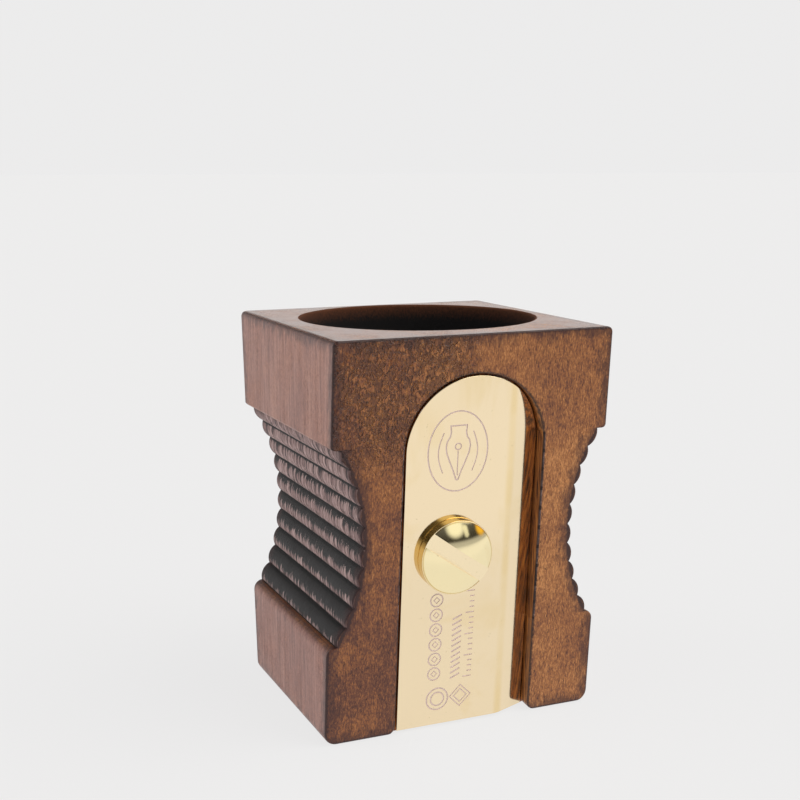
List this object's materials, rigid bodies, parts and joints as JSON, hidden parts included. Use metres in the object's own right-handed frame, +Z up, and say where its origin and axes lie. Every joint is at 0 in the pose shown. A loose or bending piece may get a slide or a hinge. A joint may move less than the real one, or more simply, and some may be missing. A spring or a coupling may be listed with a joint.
{
  "type": "desk pen holder",
  "caption": "Wood desk pen holder shaped like a large wedge pencil sharpener, with ridged grips, a conical pen well, a brass blade plate and a slotted brass screw.",
  "frame": {"origin": "the middle of the part's footprint box, on the desk that it stands on", "axes": "+Z up, -Y towards the leaning front face with the blade plate, +X to the right seen from the front"},
  "size_m": [0.0988, 0.0978, 0.135],
  "materials": {
    "stained_wood": "dark brown stain under a satin lacquer, mottled along a vertical grain",
    "plate_brass": "polished, fine engraved line ornament",
    "screw_brass": "polished, turned",
    "insert_brass": "plain machined",
    "foot_rubber": "matte black"
  },
  "bodies": {
    "holder": {"wood_body": "stained_wood", "blade_plate": "plate_brass", "threaded_insert": "insert_brass", "foot_front_left": "foot_rubber", "foot_front_right": "foot_rubber", "foot_back_left": "foot_rubber", "foot_back_right": "foot_rubber"},
    "washer": {"screw_washer": "screw_brass"},
    "screw": {"blade_screw": "screw_brass"}
  },
  "joints": [
    {"name": "screw_travel", "type": "slide", "parent": "holder", "child": "washer", "axis": [0, -0.9961, -0.0885], "range_m": [0, 0.00875]},
    {"name": "screw_turn", "type": "hinge", "parent": "washer", "child": "screw", "pos_m": [-0.00572, -0.04247, 0.06156], "axis": [0, -0.9961, -0.0885], "range_deg": [0, 2520]}
  ],
  "couplings": [
    {"joint": "screw_turn", "follows": "screw_travel", "rad_per_m": 5026.5}
  ]
}
